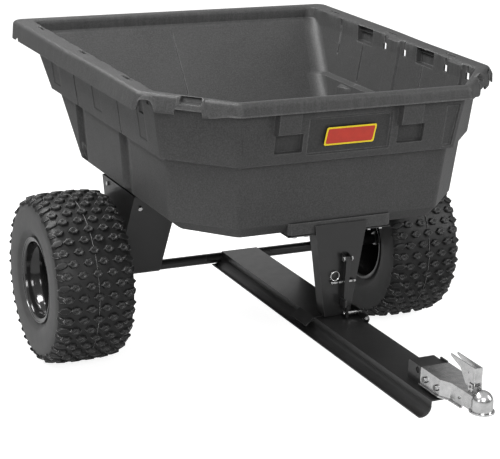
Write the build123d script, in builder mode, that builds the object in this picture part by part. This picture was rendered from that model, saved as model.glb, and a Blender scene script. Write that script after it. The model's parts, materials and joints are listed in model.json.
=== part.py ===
"""Tow-behind dump cart: poly tub on steel brackets that tips about a straight axle, a pressed
steel tongue with a ball coupler, and two knobby-tyred wheels. Millimetres, +Z up, the tongue
points along -Y. The origin is on the ground, under the middle of the cart's length."""
import os
from math import asin, atan2, cos, hypot, sin

from build123d import *

os.makedirs("parts", exist_ok=True)

# ---- driving dimensions ---------------------------------------------------------------------
tyre_r = 279.4                 # 22 in tyre
tyre_w = 262.0
wheel_x = 600.0                # wheel centre from the cart's centre line
lip_r = 141.6                  # rim lip of a 10 in rim
bead_r = 127.0
rim_t = 2.5
axle_r = 12.7                  # 1 in axle
fit_gap = 0.05                 # radial running clearance on a shaft
tube_r = 17.0                  # axle tube and pivot sleeve
rear_reach = 588.0             # tub's rear rim behind the axle
nose_reach = 1534.0            # coupler's nose ahead of the axle
axle_y = (nose_reach - rear_reach) / 2
axle_z = tyre_r

rim_top = 1024.0               # top of the tub's rolled rim at the rear
rim_top_front = 1011.0
rim_half = 611.0
skirt_low = 964.0
wall = 6.0                     # tub wall
tongue_top = 305.6
tongue_half = 65.5
flare_half = 101.0
flare_low = 265.0
sheet = 3.5                    # tongue sheet
ball_r = 23.8                  # 1 7/8 in hitch ball
socket_r = 24.3
dome_r = 28.5
ball_ahead = 1500.0
ball_z = 352.0


def ahead(distance):
    """Y of a point that lies this far ahead of the axle."""
    return axle_y - distance


def across(y):
    """Plane across the cart at Y, local x = +X, local y = +Z, extruding forwards (-Y)."""
    return Plane.XZ.offset(-y)


def along(x):
    """Plane along the cart at X, local x = +Y, local y = +Z, extruding towards +X."""
    return Plane.YZ.offset(x)


def save(builder, name):
    builder.part.label = name
    export_step(builder.part, f"parts/{name}.step")


# ---- tub ------------------------------------------------------------------------------------
# Each level: height, half width, rear reach, start of the chamfer, front reach, front half width
floor_level = (580, 440, 195, 532, 672, 319)
low_level = (615, 480, 240, 545, 699, 333)
ledge_low = (804, 497, 397, 556, 719, 345)
ledge_high = (812, 517, 430, 565, 740, 356)
under_rim = (skirt_low, 540, 549, 562, 763, 372)
rim_level = (rim_top, rim_half, rear_reach, 556, 790, 380.5)
corner = 28.0


def outline(level):
    """Plan outline of the tub at a level: square at the back, corners cut at the front."""
    half, rear, cut, front, front_half = level[1:]
    return [
        (half, axle_y + rear), (-half, axle_y + rear), (-half, ahead(cut)),
        (-front_half, ahead(front)), (front_half, ahead(front)), (half, ahead(cut)),
    ]


def plan(level, z=None, inset=0.0):
    """Sketch of one level, moved in by the inset, on its own height or another."""
    with BuildSketch(Plane.XY.offset(level[0] if z is None else z)) as face:
        with BuildLine():
            Polyline(*outline(level), close=True)
        make_face()
        if inset:
            offset(amount=-inset, kind=Kind.INTERSECTION)
        fillet(face.vertices(), corner)
    return face.sketch


block_half = 172.0
block_front = 706.0
block_low = 577.0
deck_bolts = [(x, y) for x in (-402, -330, 330, 402) for y in (axle_y - 120, axle_y + 90)]
bolt_r = 5.0
hole_r = 5.3
with BuildPart() as tub:
    levels = [floor_level, low_level, ledge_low, ledge_high, under_rim]
    for lower, upper in zip(levels[:-1], levels[1:]):
        loft([plan(lower), plan(upper)], ruled=True)
    extrude(plan(rim_level), amount=skirt_low - rim_top)
    with BuildSketch(Plane.XY.offset(block_low)):
        with Locations((0, ahead(block_front) + 40)):
            Rectangle(2 * block_half, 80)
    extrude(amount=low_level[0] - block_low + 8)
    # hollow inside, following the same levels
    loft([plan(floor_level, floor_level[0] + wall, wall + 2), plan(low_level, inset=wall + 1)],
         ruled=True, mode=Mode.SUBTRACT)
    for lower, upper in zip(levels[1:-1], levels[2:]):
        loft([plan(lower, inset=wall + 1), plan(upper, inset=wall + 1)],
             ruled=True, mode=Mode.SUBTRACT)
    extrude(plan(under_rim, inset=wall + 1), amount=rim_top - skirt_low, mode=Mode.SUBTRACT)
    # space between the rolled rim's skirt and the wall
    with BuildSketch(Plane.XY.offset(under_rim[0])):
        add(plan(rim_level, under_rim[0], wall))
        add(plan(under_rim), mode=Mode.SUBTRACT)
    extrude(amount=rim_top_front - wall - skirt_low, mode=Mode.SUBTRACT)
    # the rim falls a little towards the front
    with BuildSketch(along(-rim_half - 10)):
        with BuildLine():
            Polyline((axle_y + rear_reach, rim_top), (ahead(rim_level[4]), rim_top_front),
                     (ahead(rim_level[4]) - 20, rim_top_front), (ahead(rim_level[4]) - 20, rim_top + 9),
                     (axle_y + rear_reach, rim_top + 9), close=True)
        make_face()
    extrude(amount=2 * rim_half + 20, mode=Mode.SUBTRACT)
    with BuildSketch(Plane.XY.offset(floor_level[0])):
        with Locations(*deck_bolts):
            Circle(hole_r)
    extrude(amount=wall, mode=Mode.SUBTRACT)
save(tub, "tub")

badge_z = 886.0
front_rise = under_rim[0] - ledge_high[0]
front_lean = atan2(under_rim[4] - ledge_high[4], front_rise)
badge_ahead = ledge_high[4] + (badge_z - ledge_high[0]) * (under_rim[4] - ledge_high[4]) / front_rise
lean = Plane(origin=(-8, ahead(badge_ahead), badge_z), x_dir=(1, 0, 0),
             z_dir=(0, -cos(front_lean), -sin(front_lean)))
with BuildPart() as badge:
    with BuildSketch(lean):
        RectangleRounded(170, 60, 8)
    extrude(amount=1.6)
save(badge, "badge")

# ---- axle, sleeve and tubes -----------------------------------------------------------------
sleeve_end = 119.0
tube_start = 120.5
tube_end = 534.0
hub_in = 540.0
hub_out = 622.0
axle_end = 642.0
washer_t = 3.0
cotter_x = 631.0


def ring_along_x(x_from, x_to, r_out, r_in):
    """Tube about the axle line between two X positions."""
    with BuildSketch(along(x_from)) as face:
        with Locations((axle_y, axle_z)):
            Circle(r_out)
            Circle(r_in, mode=Mode.SUBTRACT)
    extrude(face.sketch, amount=x_to - x_from)


with BuildPart() as pivot_sleeve:
    ring_along_x(-sleeve_end, sleeve_end, tube_r, axle_r + fit_gap)
save(pivot_sleeve, "pivot_sleeve")

with BuildPart() as axle_shaft:
    with BuildSketch(along(-axle_end)):
        with Locations((axle_y, axle_z)):
            Circle(axle_r)
    extrude(amount=2 * axle_end)
    chamfer(axle_shaft.edges().filter_by(GeomType.CIRCLE), 1.2)
    for x in (-cotter_x, cotter_x):
        with Locations(Location((x, axle_y, axle_z))):
            Cylinder(2.1, 2 * axle_r + 2, mode=Mode.SUBTRACT)
save(axle_shaft, "axle_shaft")

for side, name in ((-1, "axle_tube_left"), (1, "axle_tube_right")):
    with BuildPart() as axle_tube:
        ring_along_x(side * tube_start, side * tube_end, tube_r, axle_r + fit_gap)
    save(axle_tube, name)

with BuildPart() as axle_washers:
    for side in (-1, 1):
        ring_along_x(side * (tube_end + 1.5), side * (tube_end + 1.5 + washer_t), 21, axle_r)
        ring_along_x(side * (hub_out + 1.5), side * (hub_out + 1.5 + washer_t), 21, axle_r)
save(axle_washers, "axle_washers")

with BuildPart() as cotter_pins:
    for x in (-cotter_x, cotter_x):
        with Locations(Location((x, axle_y, axle_z))):
            Cylinder(2.0, 40)
        with Locations(Location((x, axle_y, axle_z + 24))):
            Torus(5.5, 1.6, rotation=(0, 90, 0))
save(cotter_pins, "cotter_pins")

# ---- wheels ---------------------------------------------------------------------------------
barrel_r = 112.0
disc_x = 604.0
disc_t = 4.0
hub_r = 24.0
bush_r = 16.5
lip_out = 721.0
lip_in = 2 * wheel_x - lip_out


def spin(side, points):
    """Revolve a closed outline of (x, radius) points, given for the right wheel."""
    base = Plane(origin=(0, axle_y, axle_z), x_dir=(side, 0, 0), z_dir=(0, -side, 0))
    with BuildSketch(base) as face:
        with BuildLine():
            Polyline(*points, close=True)
        make_face()
    revolve(face.sketch, axis=Axis((0, axle_y, axle_z), (1, 0, 0)))


def rim_outline():
    """Half section of the rim's barrel: lip, bead seat, well, bead seat, lip."""
    outer = [
        (lip_out, lip_r), (lip_out - 6, lip_r), (lip_out - 6, bead_r), (lip_out - 34, bead_r - 1),
        (lip_out - 54, barrel_r), (lip_in + 54, barrel_r), (lip_in + 34, bead_r - 1),
        (lip_in + 6, bead_r), (lip_in + 6, lip_r), (lip_in, lip_r),
    ]
    inner = [
        (lip_in, bead_r - rim_t), (lip_in + 33, bead_r - rim_t - 1),
        (lip_in + 53, barrel_r - rim_t), (lip_out - 53, barrel_r - rim_t),
        (lip_out - 33, bead_r - rim_t - 1), (lip_out, bead_r - rim_t),
    ]
    return outer + inner


tread_t = 10.0
half_w = tyre_w / 2


def tyre_outline():
    """Closed tyre section about the wheel: the outer skin one way round, the inner skin back."""
    outer = [(109, bead_r), (115, bead_r + 4), (115, lip_r + 1), (half_w - 2, lip_r + 22), (half_w, 196),
             (half_w - 2, 226), (half_w - 12, 250), (half_w - 34, tyre_r - 11),
             (half_w - 70, tyre_r - 3), (0, tyre_r)]
    inner = [(100, bead_r), (104, lip_r), (half_w - 16, lip_r + 24), (half_w - 9, 196),
             (half_w - 13, 226), (half_w - 24, 246), (half_w - 72, tyre_r - tread_t - 4),
             (0, tyre_r - tread_t)]
    loop = outer + [(-x, r) for x, r in reversed(outer[:-1])]
    loop += [(-x, r) for x, r in inner[:-1]] + list(reversed(inner))
    return [(wheel_x + x, r) for x, r in loop]


valve_x = 640.0
for side, word in ((-1, "left"), (1, "right")):
    with BuildPart() as tyre:
        spin(side, tyre_outline())
    save(tyre, f"tyre_{word}")

    with BuildPart() as rim:
        spin(side, rim_outline())
        with Locations(Location((side * valve_x, axle_y, axle_z + barrel_r))):
            Cylinder(4.2, 20, mode=Mode.SUBTRACT)
    save(rim, f"rim_{word}")

    with BuildPart() as disc:
        ring_along_x(side * disc_x, side * (disc_x + disc_t), barrel_r - rim_t, hub_r)
    save(disc, f"wheel_disc_{word}")

    with BuildPart() as hub:
        ring_along_x(side * hub_in, side * hub_out, hub_r, bush_r)
    save(hub, f"hub_{word}")

    with BuildPart() as bushings:
        ring_along_x(side * hub_in, side * (hub_in + 28), bush_r, axle_r + fit_gap)
        ring_along_x(side * (hub_out - 28), side * hub_out, bush_r, axle_r + fit_gap)
    save(bushings, f"bushings_{word}")

    with BuildPart() as valve:
        with Locations(Location((side * valve_x, axle_y, axle_z + barrel_r - 10))):
            Cylinder(4.0, 34)
        with Locations(Location((side * valve_x, axle_y, axle_z + barrel_r - 22))):
            Cylinder(5.0, 10)
    save(valve, f"valve_{word}")

# ---- tongue ---------------------------------------------------------------------------------
tongue_rear = 14.0
tongue_front = 1358.0
leg_low = tongue_top - 20


def tongue_section():
    """Pressed rail: flat top, short legs, then quarter-round flares to each side."""
    reach = flare_half - tongue_half
    with BuildSketch(across(ahead(tongue_rear))) as face:
        with BuildLine():
            for side in (-1, 1):
                Line((0, tongue_top), (side * tongue_half, tongue_top))
                Line((side * tongue_half, tongue_top), (side * tongue_half, leg_low))
                ThreePointArc((side * tongue_half, leg_low),
                              (side * (tongue_half + 0.3 * reach), leg_low - 0.72 * (leg_low - flare_low)),
                              (side * flare_half, flare_low))
                Line((side * flare_half, flare_low), (side * flare_half, flare_low - sheet))
                ThreePointArc((side * flare_half, flare_low - sheet),
                              (side * (tongue_half + 0.18 * reach), leg_low - 0.9 * (leg_low - flare_low)),
                              (side * (tongue_half - sheet), leg_low))
                Polyline((side * (tongue_half - sheet), leg_low),
                         (side * (tongue_half - sheet), tongue_top - sheet), (0, tongue_top - sheet))
        make_face()
    return face.sketch


with BuildPart() as tongue:
    extrude(tongue_section(), amount=tongue_front - tongue_rear)
    with BuildSketch(along(-200)):
        with Locations((axle_y, axle_z)):
            Circle(tube_r)
    extrude(amount=400, mode=Mode.SUBTRACT)
save(tongue, "tongue")

# ---- coupler on the tongue's end ------------------------------------------------------------
mount_half = 40.0
mount_rear = 1196.0
mount_front = 1358.0
mount_top = 359.6
coupler_half = 44.0
coupler_rear = 1266.0
coupler_top = 363.6
coupler_low = 314.0
plate_t = 4.0
bolt_spots = [1290.0, 1348.0]
coupler_bolt_z = 335.0
neck_half = 25.0
ring_low = 322.0
jaw_wall = 1472.0              # rear of the wall behind the socket
jaw_half = 8.0
jaw_tip = 1474.0
clamp_pivot = (1432.0, 338.0)  # ahead of the axle, height
clamp_pin_r = 3.5
handle_pivot = (1462.0, 380.0)
handle_pin_r = 3.5
handle_top = 433.0
ear_in = 13.0
ear_top = 388.0
cheek = [(1474, handle_top), (1356, handle_top), (1356, 428), (1406, 412), (1436, 376), (1474, 376)]
tab_top = 366.0
chain_hole_z = 346.0
chain_hole_r = 9.0

with BuildPart() as coupler_mount:
    with BuildSketch(across(ahead(mount_rear))):
        with BuildLine():
            Polyline((-mount_half, tongue_top), (-mount_half, mount_top), (mount_half, mount_top),
                     (mount_half, tongue_top), (mount_half - 4, tongue_top),
                     (mount_half - 4, mount_top - 4), (4 - mount_half, mount_top - 4),
                     (4 - mount_half, tongue_top), close=True)
        make_face()
    extrude(amount=mount_front - mount_rear)
    with BuildSketch(along(-60)):
        with Locations(*[(ahead(spot), coupler_bolt_z) for spot in bolt_spots]):
            Circle(hole_r)
        with Locations((ahead(1245), chain_hole_z)):
            Circle(chain_hole_r + 1)
    extrude(amount=120, mode=Mode.SUBTRACT)
save(coupler_mount, "coupler_mount")


def coupler_plan(inset):
    """Half-width of the pressed coupler along its length, from the rear to the ball."""
    steps = [(coupler_rear, coupler_half), (1362, coupler_half), (1392, neck_half + 3),
             (ball_ahead, neck_half - 1)]
    right = [(half - inset, ahead(spot)) for spot, half in steps]
    return right + [(-x, y) for x, y in reversed(right)]


with BuildPart() as coupler_body:
    with BuildSketch(Plane.XY.offset(coupler_low)):
        with BuildLine():
            Polyline(*coupler_plan(0), close=True)
        make_face()
    extrude(amount=coupler_top - coupler_low)
    with BuildSketch(Plane.XY.offset(coupler_low)):
        with BuildLine():
            Polyline(*coupler_plan(-5), close=True)
        make_face()
    extrude(amount=3)
    with BuildSketch(Plane.XY.offset(ring_low)):
        with Locations((0, ahead(ball_ahead))):
            Circle(dome_r)
    extrude(amount=ball_z - ring_low)
    with Locations(Location((0, ahead(ball_ahead), ball_z))):
        Sphere(dome_r)
    # only the socket reaches ahead of the neck, so the dome's lower half is cut away
    with BuildSketch(Plane.XY.offset(coupler_low - 40)):
        with Locations((0, ahead(ball_ahead))):
            Circle(60)
    extrude(amount=40 + ring_low - coupler_low, mode=Mode.SUBTRACT)
    with BuildSketch(Plane.XY.offset(ring_low)):
        with Locations((0, ahead(ball_ahead))):
            Circle(nose_reach - ball_ahead)
    extrude(amount=4)
    # hollow channel, socket and holes
    with BuildSketch(Plane.XY.offset(coupler_low)):
        with BuildLine():
            Polyline(*coupler_plan(plate_t), close=True)
        make_face()
        with Locations((0, ahead(ball_ahead))):
            Rectangle(2 * neck_half, 2 * (ball_ahead - jaw_wall), mode=Mode.SUBTRACT)
    extrude(amount=coupler_top - plate_t - coupler_low, mode=Mode.SUBTRACT)
    with BuildSketch(Plane.XY.offset(coupler_low)):
        with Locations((0, ahead(ball_ahead - 20))):
            Rectangle(2 * jaw_half + 2, 40)
    extrude(amount=ball_z - 2 - coupler_low, mode=Mode.SUBTRACT)
    with BuildSketch(Plane.XY.offset(ring_low)):
        with Locations((0, ahead(ball_ahead))):
            Circle(socket_r)
    extrude(amount=ball_z - ring_low, mode=Mode.SUBTRACT)
    with Locations(Location((0, ahead(ball_ahead), ball_z))):
        Sphere(socket_r, mode=Mode.SUBTRACT)
    with BuildSketch(along(-60)):
        with Locations(*[(ahead(spot), coupler_bolt_z) for spot in bolt_spots]):
            Circle(hole_r)
        with Locations((ahead(clamp_pivot[0]), clamp_pivot[1])):
            Circle(clamp_pin_r)
    extrude(amount=120, mode=Mode.SUBTRACT)
    # ears that carry the handle's pin
    for side in (-1, 1):
        with BuildSketch(along(side * ear_in)):
            with BuildLine():
                Polyline((ahead(handle_pivot[0] - 9), coupler_top - 1),
                         (ahead(handle_pivot[0] - 9), ear_top),
                         (ahead(handle_pivot[0] + 9), ear_top),
                         (ahead(handle_pivot[0] + 9), coupler_top - 1), close=True)
            make_face()
            with Locations((ahead(handle_pivot[0]), handle_pivot[1])):
                Circle(handle_pin_r, mode=Mode.SUBTRACT)
        extrude(amount=side * 3)
save(coupler_body, "coupler_body")

with BuildPart() as coupler_bolts:
    for spot in bolt_spots:
        base = Plane(origin=(0, ahead(spot), coupler_bolt_z), x_dir=(0, 1, 0), z_dir=(1, 0, 0))
        with BuildSketch(base.offset(-coupler_half - 7)):
            RegularPolygon(9, 6)
        extrude(amount=7)
        with BuildSketch(base.offset(-coupler_half)):
            Circle(bolt_r)
        extrude(amount=2 * coupler_half + 12)
save(coupler_bolts, "coupler_bolts")

with BuildPart() as coupler_nuts:
    for spot in bolt_spots:
        base = Plane(origin=(0, ahead(spot), coupler_bolt_z), x_dir=(0, 1, 0), z_dir=(1, 0, 0))
        with BuildSketch(base.offset(coupler_half)):
            RegularPolygon(9, 6)
            Circle(bolt_r, mode=Mode.SUBTRACT)
        extrude(amount=8)
save(coupler_nuts, "coupler_nuts")

with BuildPart() as coupler_handle:
    for side in (-1, 1):
        with BuildSketch(along(side * (ear_in - 1))):
            with BuildLine():
                Polyline(*[(ahead(a), z) for a, z in cheek], close=True)
            make_face()
            with Locations((ahead(handle_pivot[0]), handle_pivot[1])):
                Circle(handle_pin_r + fit_gap, mode=Mode.SUBTRACT)
            with Locations((ahead(1446), 412)):
                Circle(3, mode=Mode.SUBTRACT)
        extrude(amount=-side * 3)
    with BuildSketch(along(4 - ear_in)):
        with Locations((ahead(cheek[0][0] - 1.5), (handle_top + 392) / 2)):
            Rectangle(3, handle_top - 392)
    extrude(amount=2 * ear_in - 8)
save(coupler_handle, "coupler_handle")

with BuildPart() as handle_pin:
    with BuildSketch(along(-ear_in - 5)):
        with Locations((ahead(handle_pivot[0]), handle_pivot[1])):
            Circle(handle_pin_r)
    extrude(amount=2 * ear_in + 10)
save(handle_pin, "handle_pin")

with BuildPart() as ball_clamp:
    with BuildSketch(along(-jaw_half)):
        with Locations((ahead(clamp_pivot[0]), clamp_pivot[1])):
            Circle(8)
        with Locations((ahead(jaw_tip - 5), clamp_pivot[1] - 4)):
            Rectangle(10, 10)
        make_hull()
        with Locations((ahead(clamp_pivot[0]), clamp_pivot[1])):
            Circle(clamp_pin_r + fit_gap, mode=Mode.SUBTRACT)
    extrude(amount=2 * jaw_half)
save(ball_clamp, "ball_clamp")

with BuildPart() as clamp_pin:
    with BuildSketch(along(-neck_half - 4)):
        with Locations((ahead(clamp_pivot[0]), clamp_pivot[1])):
            Circle(clamp_pin_r)
    extrude(amount=2 * neck_half + 8)
save(clamp_pin, "clamp_pin")

with BuildPart() as chain_tab:
    with BuildSketch(along(mount_half)):
        with Locations((ahead(1245), (tongue_top + tab_top) / 2)):
            Rectangle(34, tab_top - tongue_top)
        with Locations((ahead(1245), chain_hole_z)):
            Circle(chain_hole_r, mode=Mode.SUBTRACT)
    extrude(amount=5)
save(chain_tab, "chain_tab")

# ---- brackets under the tub -----------------------------------------------------------------
plate = 3.0
bracket_out = 448.0
bracket_in = 292.0
bracket_top = floor_level[0]
bracket_ahead = 172.0
bracket_behind = 115.0
shoulder = 5.0                 # upright edge under the bracket's top
face_bolt_side = (62.0, 562.0)          # behind the axle, height
face_bolt_front = (420.0, 534.0)        # from the centre line, height


def bracket_profile(x, inset):
    """Side view of a bracket: wide under the tub, narrowing to wrap the axle tube."""
    with BuildSketch(along(x)) as face:
        with Locations((axle_y, axle_z)):
            Circle(tube_r + plate)
        with Locations((axle_y + (bracket_behind - bracket_ahead) / 2, bracket_top - shoulder / 2)):
            Rectangle(bracket_ahead + bracket_behind, shoulder)
        make_hull()
        if inset:
            offset(amount=-inset, kind=Kind.INTERSECTION)
    return face.sketch


def front_face_plane(x, z):
    """Plane lying on the bracket's sloping front face, facing out."""
    corner_z = bracket_top - shoulder
    rise = corner_z - axle_z
    angle = atan2(rise, bracket_ahead) + asin((tube_r + plate) / hypot(rise, bracket_ahead))
    y = ahead(bracket_ahead) + (corner_z - z) * cos(angle) / sin(angle)
    return Plane(origin=(x, y, z), x_dir=(1, 0, 0), z_dir=(0, -sin(angle), -cos(angle)))


for side, word in ((-1, "left"), (1, "right")):
    with BuildPart() as bracket:
        extrude(bracket_profile(side * bracket_in, 0), amount=side * (bracket_out - bracket_in))
        extrude(bracket_profile(side * bracket_in, plate),
                amount=side * (bracket_out - bracket_in - plate), mode=Mode.SUBTRACT)
        with BuildSketch(along(side * (bracket_out - plate))):
            with Locations((axle_y, axle_z)):
                Circle(tube_r)
            with Locations((ahead(-face_bolt_side[0]), face_bolt_side[1])):
                Circle(4.3)
        extrude(amount=side * plate, mode=Mode.SUBTRACT)
        with BuildSketch(Plane.XY.offset(bracket_top)):
            with Locations(*deck_bolts):
                Circle(hole_r)
        extrude(amount=-plate, mode=Mode.SUBTRACT)
        with BuildSketch(front_face_plane(side * face_bolt_front[0], face_bolt_front[1])):
            Circle(4.3)
        extrude(amount=-plate - 2, mode=Mode.SUBTRACT)
    save(bracket, f"bracket_{word}")

with BuildPart() as deck_bolt_set:
    with BuildSketch(Plane.XY.offset(floor_level[0] + wall)):
        with Locations(*deck_bolts):
            Circle(12)
    extrude(amount=5, taper=40)
    with BuildSketch(Plane.XY.offset(floor_level[0] + wall)):
        with Locations(*deck_bolts):
            Circle(bolt_r)
    extrude(amount=-28)
save(deck_bolt_set, "deck_bolts")

with BuildPart() as deck_nuts:
    with BuildSketch(Plane.XY.offset(bracket_top - plate)):
        with Locations(*deck_bolts):
            RegularPolygon(9.5, 6)
            Circle(bolt_r, mode=Mode.SUBTRACT)
    extrude(amount=-8)
save(deck_nuts, "deck_nuts")

with BuildPart() as bracket_face_bolts:
    for side in (-1, 1):
        flat = Plane(origin=(side * bracket_out, ahead(-face_bolt_side[0]), face_bolt_side[1]),
                     x_dir=(0, 1, 0), z_dir=(side, 0, 0))
        for base in (flat, front_face_plane(side * face_bolt_front[0], face_bolt_front[1])):
            with BuildSketch(base):
                RegularPolygon(7.5, 6)
            extrude(amount=5.5)
            with BuildSketch(base):
                Circle(4)
            extrude(amount=-12)
save(bracket_face_bolts, "bracket_face_bolts")

with BuildPart() as bracket_face_nuts:
    for side in (-1, 1):
        flat = Plane(origin=(side * (bracket_out - plate), ahead(-face_bolt_side[0]), face_bolt_side[1]),
                     x_dir=(0, 1, 0), z_dir=(-side, 0, 0))
        front = front_face_plane(side * face_bolt_front[0], face_bolt_front[1]).offset(-plate)
        for base, way in ((flat, 1), (front, -1)):
            with BuildSketch(base):
                RegularPolygon(7.5, 6)
                Circle(4, mode=Mode.SUBTRACT)
            extrude(amount=way * 6)
save(bracket_face_nuts, "bracket_face_nuts")

# ---- front post, mount plate and latch ------------------------------------------------------
post_face = 712.0
post_top = 604.0
post_low = 312.0
post_top_half = 88.0
post_low_half = 43.0
post_depth = 44.0
plate_low = block_low - plate
post_bolt_spots = [(x, ahead(688)) for x in (-145, -105, 105, 145)]


def post_half(z):
    """Half width of the tapering post at a height."""
    return post_low_half + (post_top_half - post_low_half) * (z - post_low) / (post_top - post_low)


def post_outline(inset, top):
    return [(-post_half(post_low) + inset, post_low), (post_half(post_low) - inset, post_low),
            (post_half(top) - inset, top), (-post_half(top) + inset, top)]


with BuildPart() as front_post:
    with BuildSketch(across(ahead(post_face - plate))):
        with BuildLine():
            Polyline(*post_outline(0, post_top), close=True)
        make_face()
    extrude(amount=plate)
    with BuildSketch(across(ahead(post_face - post_depth))):
        with BuildLine():
            Polyline(*post_outline(0, plate_low), close=True)
        make_face()
    extrude(amount=post_depth - plate)
    with BuildSketch(across(ahead(post_face - post_depth))):
        with BuildLine():
            Polyline(*post_outline(plate, plate_low), close=True)
        make_face()
    extrude(amount=post_depth - plate, mode=Mode.SUBTRACT)
save(front_post, "front_post")

with BuildPart() as post_mount_plate:
    with BuildSketch(Plane.XY.offset(plate_low)):
        with Locations((0, ahead(block_front) + 33)):
            Rectangle(2 * block_half, 66)
        with Locations(*post_bolt_spots):
            Circle(hole_r, mode=Mode.SUBTRACT)
    extrude(amount=plate)
save(post_mount_plate, "post_mount_plate")

with BuildPart() as post_bolts:
    with BuildSketch(Plane.XY.offset(plate_low)):
        with Locations(*post_bolt_spots):
            RegularPolygon(9.5, 6)
    extrude(amount=-7)
    with BuildSketch(Plane.XY.offset(plate_low)):
        with Locations(*post_bolt_spots):
            Circle(bolt_r)
    extrude(amount=plate)
save(post_bolts, "post_bolts")

lever_pivot = (730.0, 497.0)
lever_in = 10.0
lever_out = 24.0
lever_back = 724.0
lever_front = 730.0
pin_line = (718.7, 420.0)
pin_r = 4.0

with BuildPart() as latch_clevis:
    for x in (lever_in - 4, lever_out + 1):
        with BuildSketch(along(x)):
            with Locations((ahead(lever_pivot[0]), lever_pivot[1])):
                Circle(9)
            with Locations((ahead(post_face + 2), lever_pivot[1])):
                Rectangle(4, 24)
            make_hull()
            with Locations((ahead(lever_pivot[0]), lever_pivot[1])):
                Circle(4, mode=Mode.SUBTRACT)
        extrude(amount=3)
save(latch_clevis, "latch_clevis")

with BuildPart() as latch_pivot_bolt:
    with BuildSketch(along(lever_in - 4)):
        with Locations((ahead(lever_pivot[0]), lever_pivot[1])):
            Circle(4)
    extrude(amount=lever_out - lever_in + 8)
    for x, way in ((lever_in - 4, -1), (lever_out + 4, 1)):
        with BuildSketch(along(x)):
            with Locations((ahead(lever_pivot[0]), lever_pivot[1])):
                RegularPolygon(8, 6)
        extrude(amount=way * 5)
save(latch_pivot_bolt, "latch_pivot_bolt")

rod_at = (722.0, 318.0)
rod_r = 6.2
with BuildPart() as latch_lever:
    with BuildSketch(along(lever_in)):
        with Locations((ahead(lever_pivot[0]), lever_pivot[1])):
            Circle(6.8)
        with Locations((ahead((lever_back + lever_front) / 2), 340)):
            Rectangle(lever_front - lever_back, 20)
        make_hull()
        with Locations((ahead(lever_pivot[0]), lever_pivot[1])):
            Circle(4 + fit_gap, mode=Mode.SUBTRACT)
    extrude(amount=lever_out - lever_in)
    # hook plate in front of the striker rod, its toe just short of the rod
    with BuildSketch(along(lever_out - 7)):
        with BuildLine():
            Polyline((ahead(lever_back), 345), (ahead(lever_back), 332), (ahead(731), 328),
                     (ahead(731), 314), (ahead(729.4), 313), (ahead(729.4), 309.5),
                     (ahead(739), 309.5), (ahead(741), 345), close=True)
        make_face()
    extrude(amount=7)
    # side tab that a thumb or boot pushes
    with BuildSketch(along(lever_in - 5)):
        with Locations((ahead(733.5), 358)):
            RectangleRounded(33, 25, 2)
    extrude(amount=5)
save(latch_lever, "latch_lever")

guide_spots = (-9.0, 42.0)
with BuildPart() as pin_guides:
    for x in guide_spots:
        with BuildSketch(along(x)):
            with Locations((ahead(pin_line[0]), pin_line[1])):
                Circle(5.2)
            with Locations((ahead(post_face + 1.5), pin_line[1])):
                Rectangle(3, 14)
            make_hull()
            with Locations((ahead(pin_line[0]), pin_line[1])):
                Circle(pin_r + fit_gap, mode=Mode.SUBTRACT)
        extrude(amount=4)
save(pin_guides, "pin_guides")

eye_x = -18.5
with BuildPart() as lock_pin:
    with BuildSketch(along(-26)):
        with Locations((ahead(pin_line[0]), pin_line[1])):
            Circle(pin_r)
    extrude(amount=80)
    chamfer(lock_pin.faces().sort_by(Axis.X)[-1].edges(), 1.2)
    with BuildSketch(along(-31)):
        with Locations((ahead(pin_line[0]), pin_line[1])):
            Circle(5.8)
    extrude(amount=5)
save(lock_pin, "lock_pin")

bail_r = 14.0
wire_r = 1.6
with BuildPart() as pin_bail:
    with BuildSketch(along(eye_x - 1.6)):
        with Locations((ahead(pin_line[0]), pin_line[1])):
            Circle(6)
            Circle(pin_r + fit_gap, mode=Mode.SUBTRACT)
    extrude(amount=3.2)
    with Locations(Location((eye_x + 1.6, ahead(pin_line[0]), pin_line[1] + 7.2 + bail_r))):
        Torus(bail_r, wire_r, rotation=(90, 0, 0))
save(pin_bail, "pin_bail")

# ---- saddle and striker on the tongue -------------------------------------------------------
saddle_t = 3.0
ear_x = tongue_half + saddle_t
with BuildPart() as latch_saddle:
    with BuildSketch(across(ahead(600))):
        with BuildLine():
            Polyline((-96, 283), (-96 - 2, 286), (-tongue_half - saddle_t, tongue_top + saddle_t),
                     (ear_x, tongue_top + saddle_t), (ear_x, leg_low + 6), (tongue_half, leg_low + 6),
                     (tongue_half, tongue_top), (-tongue_half, tongue_top), close=True)
        make_face()
    extrude(amount=95)
    with BuildSketch(along(tongue_half)):
        with Locations((ahead(640), 310)):
            Rectangle(40, 30)
        with Locations((ahead(776), 314)):
            Circle(13)
        with Locations((ahead(rod_at[0]), rod_at[1])):
            Circle(13)
        make_hull()
        with Locations((ahead(rod_at[0]), rod_at[1])):
            Circle(rod_r, mode=Mode.SUBTRACT)
        with Locations((ahead(776), 314)):
            Circle(4.3, mode=Mode.SUBTRACT)
    extrude(amount=saddle_t)
save(latch_saddle, "latch_saddle")

with BuildPart() as striker_rod:
    with BuildSketch(along(16)):
        with Locations((ahead(rod_at[0]), rod_at[1])):
            Circle(rod_r)
    extrude(amount=58)
    chamfer(striker_rod.edges().filter_by(GeomType.CIRCLE), 1.5)
save(striker_rod, "striker_rod")

with BuildPart() as saddle_bolt:
    with BuildSketch(along(tongue_half - 6)):
        with Locations((ahead(776), 314)):
            RegularPolygon(7.5, 6)
    extrude(amount=6)
    with BuildSketch(along(tongue_half)):
        with Locations((ahead(776), 314)):
            Circle(4.2)
    extrude(amount=saddle_t)
    with BuildSketch(along(ear_x)):
        with Locations((ahead(776), 314)):
            RegularPolygon(7.5, 6)
    extrude(amount=5.5)
save(saddle_bolt, "saddle_bolt")
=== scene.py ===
"""Looks of the tow-behind cart: detailed poly tub, knobby tyres, painted and plated steel."""
import json
from math import atan2, cos, hypot, pi, radians, sin, sqrt, tan

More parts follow.
